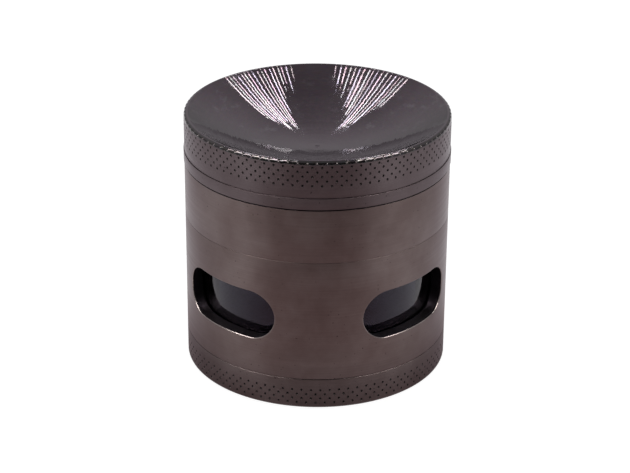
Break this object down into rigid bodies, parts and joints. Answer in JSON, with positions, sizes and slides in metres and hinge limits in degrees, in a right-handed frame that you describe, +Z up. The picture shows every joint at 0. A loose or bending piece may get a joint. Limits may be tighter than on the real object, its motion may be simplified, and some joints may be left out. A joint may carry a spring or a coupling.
{
  "type": "herb and spice grinder",
  "caption": "Metal hand grinder: dished lid with knurled grip, toothed plate, perforated chamber, windowed drum with clear sleeve, screen and screw-on catcher base.",
  "frame": {"origin": "centre of the flat underside of the catcher base, on the table", "axes": "+Z up along the common axis of all the stages; the four windows face +X, +Y, -X and -Y"},
  "size_m": [0.0632, 0.0632, 0.0625],
  "materials": {
    "gunmetal": "satin black-nickel plating with fine turned lines",
    "lid_gunmetal": "satin black-nickel plating, slightly darker than the body",
    "clear_acrylic": "clear gloss",
    "silicone": "matte",
    "nylon": "satin natural nylon",
    "stainless": "bright woven wire and spring steel",
    "magnet_nickel": "bright nickel plating",
    "scraper_plastic": "matte moulded plastic"
  },
  "bodies": {
    "base": {"catcher_base": "gunmetal"},
    "scraper": {"pollen_scraper": "scraper_plastic"},
    "drum_thread": {"sleeve_lower_gasket": "silicone"},
    "drum": {"window_drum": "gunmetal", "clear_sleeve": "clear_acrylic", "sleeve_upper_gasket": "silicone", "screen_mesh": "stainless", "screen_retaining_ring": "stainless"},
    "chamber_thread": {"chamber_magnet": "magnet_nickel"},
    "chamber": {"grinding_chamber": "gunmetal"},
    "lid_seat": {"lid_magnet": "magnet_nickel", "lid_glide_ring": "nylon"},
    "lid": {"tooth_plate": "lid_gunmetal", "concave_cap": "lid_gunmetal"}
  },
  "joints": [
    {"name": "scraper_lift", "type": "slide", "parent": "base", "child": "scraper", "axis": [0, 0, 1], "range_m": [0, 0.004]},
    {"name": "drum_rise", "type": "slide", "parent": "base", "child": "drum_thread", "axis": [0, 0, 1], "range_m": [0, 0.0034]},
    {"name": "drum_unscrew", "type": "hinge", "parent": "drum_thread", "child": "drum", "pos_m": [0, 0, 0.0075], "axis": [0, 0, 1], "range_deg": [0, 810]},
    {"name": "chamber_rise", "type": "slide", "parent": "drum", "child": "chamber_thread", "axis": [0, 0, 1], "range_m": [0, 0.0034]},
    {"name": "chamber_unscrew", "type": "hinge", "parent": "chamber_thread", "child": "chamber", "pos_m": [0, 0, 0.0375], "axis": [0, 0, 1], "range_deg": [0, 810]},
    {"name": "lid_lift", "type": "slide", "parent": "chamber", "child": "lid_seat", "axis": [0, 0, 1], "range_m": [0, 0.03]},
    {"name": "lid_spin", "type": "hinge", "parent": "lid_seat", "child": "lid", "pos_m": [0, 0, 0.0505], "axis": [0, 0, 1], "continuous": true}
  ],
  "couplings": [
    {"joint": "drum_rise", "follows": "drum_unscrew", "m_per_rad": 0.00023873},
    {"joint": "chamber_rise", "follows": "chamber_unscrew", "m_per_rad": 0.00023873}
  ]
}
